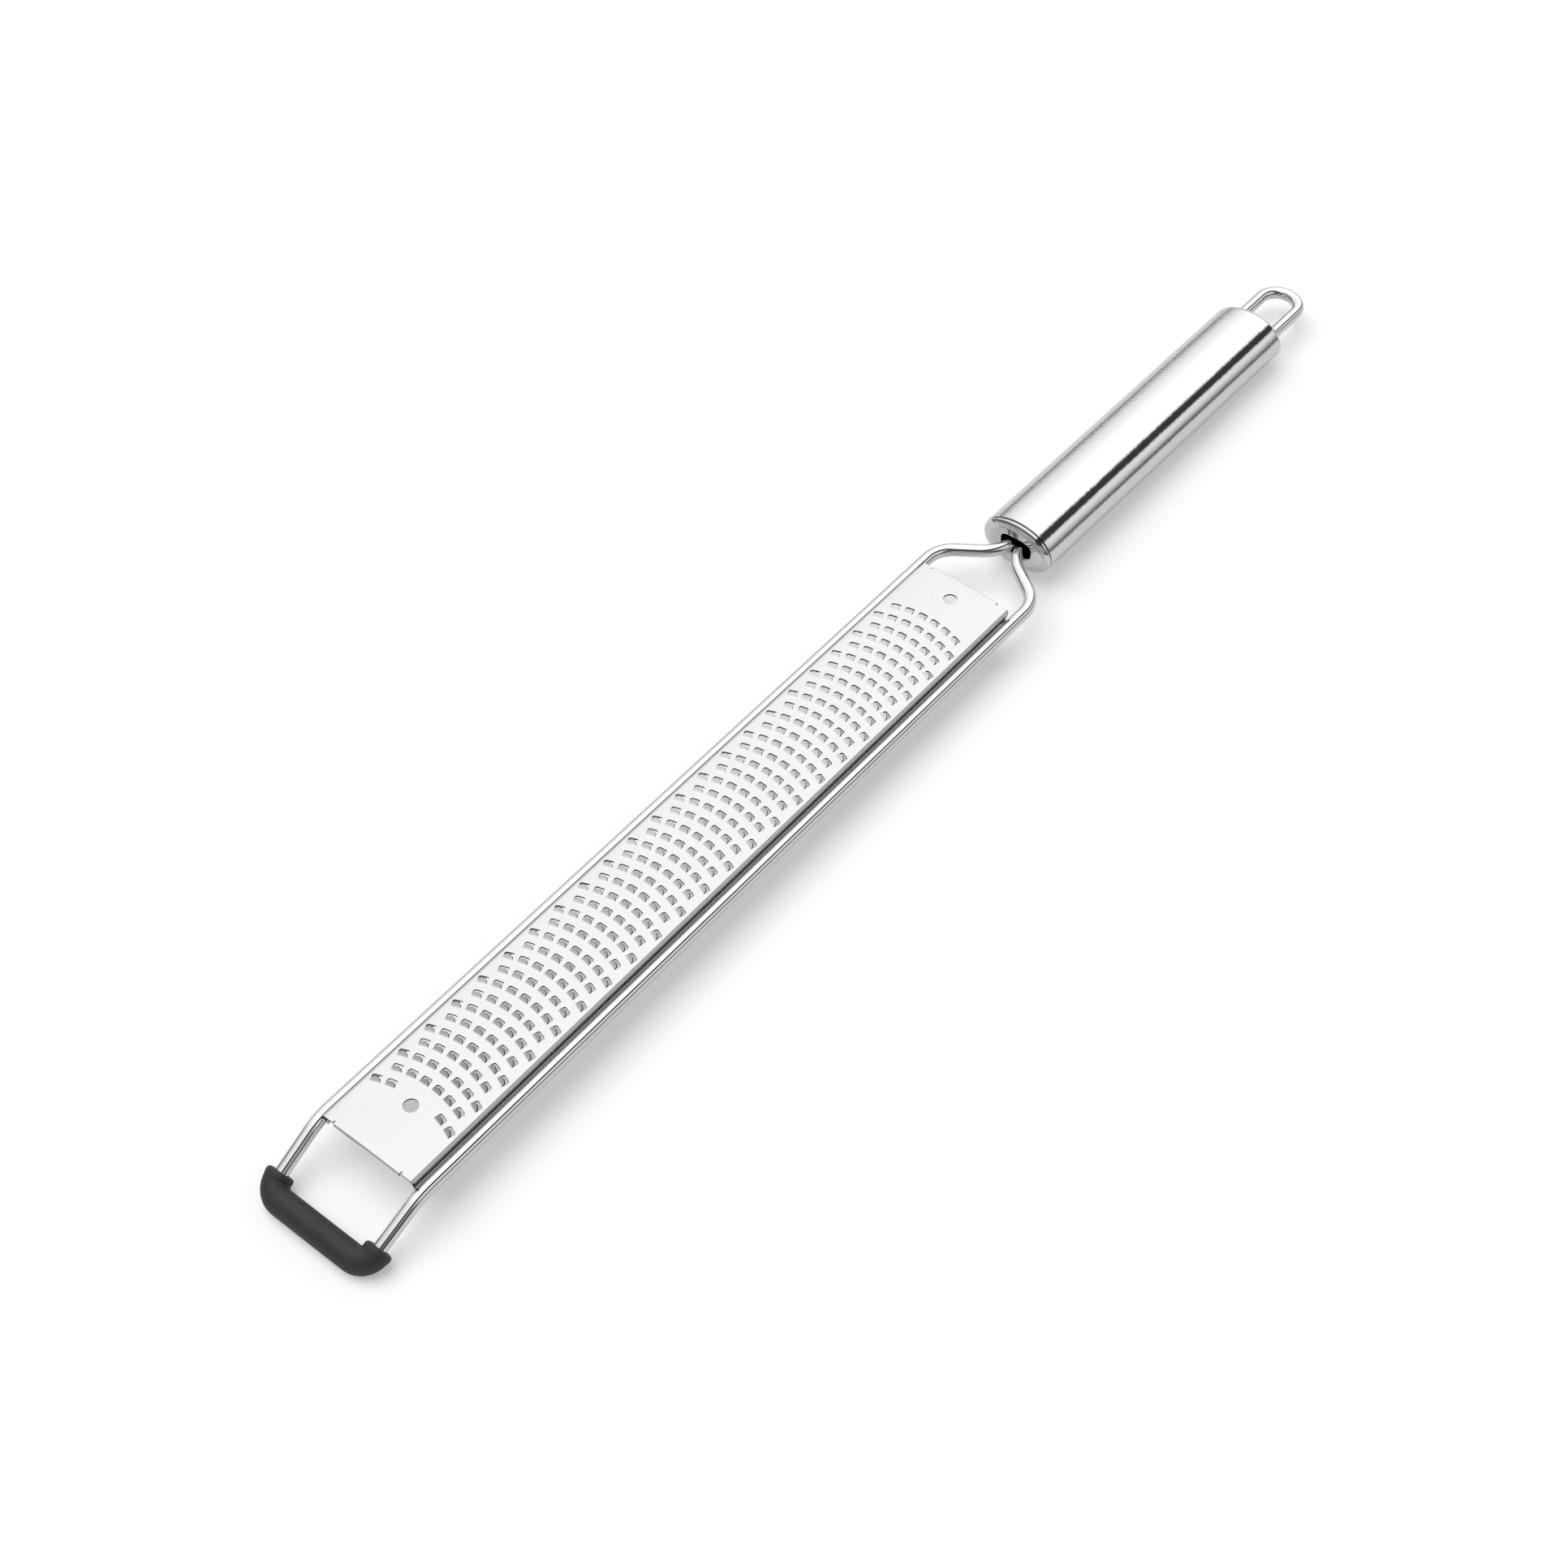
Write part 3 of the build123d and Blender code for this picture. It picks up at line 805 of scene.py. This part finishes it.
class ZESTER_OT_rubber_foot(bpy.types.Operator):
    """Mould the rubber sleeve round the cross-bar"""

    bl_idname = "zester.rubber_foot"
    bl_label = "Rubber foot"

    def execute(self, context):
        wire = context.scene.zester_wire
        outer = wire.radius + wire.sleeve_wall
        bore = wire.radius + FIT
        points = frame_points(wire, context.scene.zester_handle)
        corner, middle = points[4], points[5]
        up = (points[3] - corner).normalized()
        rim = corner + up * wire.cuff
        half = ring(outer, middle, Vector((1, 0, 0)), sides=40)
        # Rings of the cuff: how far before the rim, and the radius there
        swell, inlet, full = wire.cuff_swell, wire.cuff_inlet, outer + wire.cuff_lip
        cuff = [(swell, outer), (swell * 0.8, outer + wire.cuff_lip * 0.7), (swell * 0.6, full)]
        cuff += [(wire.cuff_bend, full)]
        cuff += quarter(cuff[-1], (0, full - wire.cuff_bend), 6, True)
        cuff += [(0, bore + inlet), (inlet * 0.4, bore + inlet * 0.24), (inlet * 1.2, bore)]
        before, radius = cuff[0]
        follow([middle, corner, rim - up * before], [wire.foot_bend])
        for next_before, next_radius in cuff[1:]:
            push(up * (before - next_before))
            widen((next_radius / radius,) * 3, rim - up * next_before)
            before, radius = next_before, next_radius
        follow([rim - up * before, corner, middle], [wire.foot_bend])
        freeze(half)
        modify(half, "MIRROR", merge_threshold=SEAM)
        # The sole: cut flat where the tool rests
        half.matrix_world = rest_place()
        freeze(half)
        edit(half)
        bpy.ops.mesh.bisect(
            plane_co=(0, 0, 0), plane_no=(0, 0, 1), use_fill=True, clear_inner=True,
            threshold=WELD / 4,
        )
        settle(
            half, "foot_sleeve", "rubber_foot", moulded_rubber(wire.rubber),
            Matrix.Identity(4), sharp=40,
        )
        return {"FINISHED"}


class ZESTER_OT_handle_tube(bpy.types.Operator):
    """Draw the oval tube with its rounded-in rear edge"""

    bl_idname = "zester.handle_tube"
    bl_label = "Handle tube"

    def execute(self, context):
        handle = context.scene.zester_handle
        end, wall, round_in = handle.length, handle.wall, handle.shoulder
        mouth, rear, bevel, bands = handle.mouth_edge, handle.rear_edge, handle.rear_bevel, 12
        outside = [(mouth, 0.0)]
        outside += [(end * part / bands, 0.0) for part in range(1, bands)]
        outside += [(end - round_in, 0.0)]
        outside += quarter(outside[-1], (end, round_in), 10, True)
        outside += [(end - rear, round_in + rear / 2), (end - wall, round_in + rear / 2)]
        inside = [(end - wall - bevel * 0.8, round_in - bevel), (end - round_in - wall, wall)]
        inside += [(mouth, wall), (0.0, wall - mouth), (0.0, mouth), (mouth, 0.0)]
        tube = oval_rings(handle, outside + inside)
        place = rest_place() @ handle_place(handle)
        lean = handle.droop + REST_LEAN
        settle(
            tube, "tube_wall", "handle_tube", girth_brushed_tube(handle.steel, lean),
            place, sharp=40,
        )
        return {"FINISHED"}


def slot_point(handle, angle, grow):
    """A point of the slot's outline, or of one a little larger, in a direction from its middle."""
    across, up = handle.slot_half_width + grow, handle.slot_half_height + grow
    power = handle.slot_power
    reach = (abs(cos(angle) / across) ** power + abs(sin(angle) / up) ** power) ** (-1 / power)
    return reach * cos(angle), reach * sin(angle)


class ZESTER_OT_caps(bpy.types.Operator):
    """Press the front cap with its bead and slot, and the plate at the rear"""

    bl_idname = "zester.caps"
    bl_label = "Caps"

    def execute(self, context):
        handle = context.scene.zester_handle
        place = rest_place() @ handle_place(handle)
        steel = pressed_polished_cap(handle.cap_steel)
        skirt, gap, face = handle.wall + FIT, handle.bead_gap, -handle.face
        profile = [(handle.skirt, skirt), (handle.skirt_bend, skirt)]
        profile += [(-gap * 0.4, handle.wall), (-gap, handle.bead_inset)]
        profile += curled(profile[-1], BEAD)
        profile += quarter(profile[-1], (face, handle.face_inset), 6, True)
        cap = oval_rings(handle, profile)
        # From the oval face to the slot, whose edge rolls in like a funnel
        funnel = [(handle.slot_roll, face)]
        funnel += quarter(funnel[0], (0, face + handle.slot_roll), 6, True)
        funnel += [(0, handle.slot_depth)]
        for grow, along in funnel:
            push((0, 0, 0))
            mesh = bmesh.from_edit_mesh(cap.data)
            for vert in mesh.verts:
                if vert.select:
                    angle = atan2(vert.co.z, vert.co.x)
                    vert.co.x, vert.co.z = slot_point(handle, angle, grow)
                    vert.co.y = along
            bmesh.update_edit_mesh(cap.data)
        bpy.ops.mesh.select_all(action="SELECT")
        bpy.ops.mesh.remove_doubles(threshold=WELD)
        face_towards(Vector((0, -1, 0)))
        modify(cap, "SOLIDIFY", thickness=handle.cap_wall, offset=-1)
        settle(cap, "mouth_cap", "front_cap", steel, place, sharp=50)

        end, inset, edge = handle.length, handle.shoulder + handle.plate_gap, handle.plate_edge
        rear = [(end - handle.plate, inset + edge * 2 / 3), (end - edge, inset)]
        rear += quarter(rear[-1], (end, inset + edge), 3, True)
        rear += [(end, inset + edge * 3), (end - handle.plate_sink, inset + edge * 4)]
        disc = oval_rings(handle, rear)
        bpy.ops.mesh.edge_face_add()
        bpy.ops.mesh.select_all(action="SELECT")
        bpy.ops.mesh.fill_holes(sides=0)
        bpy.ops.mesh.normals_make_consistent(inside=False)
        wire = context.scene.zester_wire
        deselect_all()
        for side in (-1, 1):
            bpy.ops.mesh.primitive_cylinder_add(
                vertices=40, radius=wire.radius + handle.loop_hole_gap, depth=handle.plate * 5,
                location=(side * wire.loop_half_width, end, 0), rotation=(pi / 2, 0, 0),
            )
            drill = context.object
            modify(disc, "BOOLEAN", object=drill, operation="DIFFERENCE", solver="EXACT")
            bpy.data.objects.remove(drill)
        settle(disc, "rear_plate", "rear_cap", steel, place, sharp=40)
        return {"FINISHED"}


class ZESTER_OT_hanging_loop(bpy.types.Operator):
    """Bend the hanging loop from the frame's wire"""

    bl_idname = "zester.hanging_loop"
    bl_label = "Hanging loop"

    def execute(self, context):
        wire, handle = context.scene.zester_wire, context.scene.zester_handle
        half, inner = wire.loop_half_width, handle.length - wire.loop_inside
        crown = handle.length + wire.loop_reach - wire.radius
        corners = [(-half, inner), (-half, crown), (half, crown), (half, inner)]
        points = [Vector((x, y, 0)) for x, y in corners]
        loop = ring(wire.radius, points[0], points[1] - points[0])
        follow(points, [half, half])
        bpy.ops.mesh.select_all(action="SELECT")
        bpy.ops.mesh.fill_holes(sides=0)
        freeze(loop)
        settle(
            loop, "loop_wire", "hanging_loop", polished_drawn_wire(wire.steel),
            rest_place() @ handle_place(handle), sharp=50,
        )
        return {"FINISHED"}


class ZESTER_OT_tail_plug(bpy.types.Operator):
    """Finish the plug that holds the tails inside the tube"""

    bl_idname = "zester.tail_plug"
    bl_label = "Tail plug"

    def execute(self, context):
        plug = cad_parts["tail_plug"]
        plug.data.materials.clear()
        plug.data.materials.append(sawn_steel(context.scene.zester_handle.plug_steel))
        return {"FINISHED"}


class ZESTER_OT_stage(bpy.types.Operator):
    """Set the table, the soft studio light and the camera"""

    bl_idname = "zester.stage"
    bl_label = "Stage"

    def execute(self, context):
        stage = context.scene.zester_stage
        deselect_all()
        bpy.ops.mesh.primitive_plane_add(size=stage.table_size)
        table = context.object
        table.name = "table"
        material, tree, output = finish("table_paper_white")
        rays = node(tree, "ShaderNodeLightPath").outputs
        seen = node(
            tree, "ShaderNodeMath", {"operation": "MULTIPLY_ADD"},
            _0=rays["Is Glossy Ray"], _1=stage.glow_mirrored, _2=rays["Is Camera Ray"],
        ).outputs[0]
        glow = node(tree, "ShaderNodeMath", {"operation": "MULTIPLY"}, _0=seen, _1=stage.table_glow)
        paper = node(tree, "ShaderNodeBsdfDiffuse", Color=four(stage.table)).outputs[0]
        glowing = node(tree, "ShaderNodeEmission", Strength=glow.outputs[0]).outputs[0]
        both = node(tree, "ShaderNodeAddShader", _0=paper, _1=glowing).outputs[0]
        tree.links.new(both, output.inputs["Surface"])
        table.data.materials.append(material)

        world = bpy.data.worlds.new("studio")
        context.scene.world = world
        world.use_nodes = True
        tree = world.node_tree
        tree.nodes.clear()
        way = node(tree, "ShaderNodeTexCoord").outputs["Generated"]
        along = node(tree, "ShaderNodeSeparateXYZ", Vector=way).outputs
        light = stage.room_shade
        for box in SOFTBOXES:
            level = 1.0
            for across, stops in zip(along[:2], box):
                angle = node(tree, "ShaderNodeMath", {"operation": "ARCTAN2"}, _0=across, _1=along[2])
                share = node(
                    tree, "ShaderNodeMapRange", Value=angle.outputs[0], From_Min=-pi, From_Max=pi
                ).outputs[0]
                ramp = node(tree, "ShaderNodeValToRGB", Fac=share)
                first, last = ramp.color_ramp.elements
                first.color, last.color = four([stops[0][1]] * 3), four([stops[-1][1]] * 3)
                for degrees, here in stops[1:-1]:
                    ramp.color_ramp.elements.new((degrees + 180) / 360).color = four([here] * 3)
                level = node(
                    tree, "ShaderNodeMath", {"operation": "MULTIPLY"}, _0=ramp.outputs[0], _1=level
                ).outputs[0]
            light = node(tree, "ShaderNodeMath", {"operation": "ADD"}, _0=level, _1=light).outputs[0]
        lit = node(tree, "ShaderNodeBackground", Color=light, Strength=stage.softbox).outputs[0]
        white = four((1, 1, 1))
        even = node(tree, "ShaderNodeBackground", Color=white, Strength=stage.even_light).outputs[0]
        plain = node(tree, "ShaderNodeBackground", Color=white).outputs[0]
        rays = node(tree, "ShaderNodeLightPath").outputs
        sky = node(tree, "ShaderNodeMixShader", _0=rays["Is Glossy Ray"], _1=even, _2=lit).outputs[0]
        sky = node(tree, "ShaderNodeMixShader", _0=rays["Is Camera Ray"], _1=sky, _2=plain).outputs[0]
        out = tree.nodes.new("ShaderNodeOutputWorld")
        tree.links.new(sky, out.inputs["Surface"])

        # Light reflected back by the room, which no metal shows as a spot
        bpy.ops.object.light_add(type="SUN", rotation=stage.room_light_turn)
        room = context.object
        room.name = "room_light"
        room.data.energy = stage.room_light
        room.data.angle = stage.room_light_spread
        room.visible_glossy = False

        bpy.ops.object.camera_add(location=stage.eye, rotation=stage.aim)
        camera = context.object
        camera.data.sensor_width = stage.film
        camera.data.lens = stage.lens
        camera.data.clip_start = 10 * MM
        context.scene.camera = camera
        context.scene.view_settings.view_transform = "Standard"
        deselect_all()
        return {"FINISHED"}


class ZESTER_PT_pieces(bpy.types.Panel):
    """Buttons for the zester's pieces, with their sizes and colours"""

    bl_idname = "ZESTER_PT_pieces"
    bl_label = "Rasp zester"
    bl_space_type = "VIEW_3D"
    bl_region_type = "UI"
    bl_category = "Zester"

    def draw(self, context):
        for name, operators in PARTS.items():
            box = self.layout.box()
            settings = getattr(context.scene, name)
            for field in settings.bl_rna.properties:
                if field.identifier not in ("name", "rna_type"):
                    box.prop(settings, field.identifier)
            for operator in operators:
                box.operator(operator.bl_idname)


PARTS = {
    "zester_blade": [ZESTER_OT_blade],
    "zester_wire": [ZESTER_OT_wire_frame, ZESTER_OT_rubber_foot, ZESTER_OT_hanging_loop],
    "zester_handle": [ZESTER_OT_handle_tube, ZESTER_OT_caps, ZESTER_OT_tail_plug],
    "zester_stage": [ZESTER_OT_stage],
}
GROUPS = {
    "zester_blade": ZesterBlade,
    "zester_wire": ZesterWire,
    "zester_handle": ZesterHandle,
    "zester_stage": ZesterStage,
}
CLASSES = [
    *GROUPS.values(),
    *(operator for operators in PARTS.values() for operator in operators),
    ZESTER_PT_pieces,
]


def register():
    """Adds the classes and the scene's settings."""
    for each in CLASSES:
        bpy.utils.register_class(each)
    for name, group in GROUPS.items():
        setattr(bpy.types.Scene, name, PointerProperty(type=group))


def unregister():
    """Takes the settings and the classes out again."""
    for name in GROUPS:
        delattr(bpy.types.Scene, name)
    for each in reversed(CLASSES):
        bpy.utils.unregister_class(each)


def main():
    """Makes every piece in order."""
    register()
    bpy.ops.zester.stage()
    bpy.ops.zester.wire_frame()
    bpy.ops.zester.rubber_foot()
    bpy.ops.zester.hanging_loop()
    bpy.ops.zester.handle_tube()
    bpy.ops.zester.caps()
    bpy.ops.zester.tail_plug()
    bpy.ops.zester.blade()


if __name__ == "__main__":
    main()
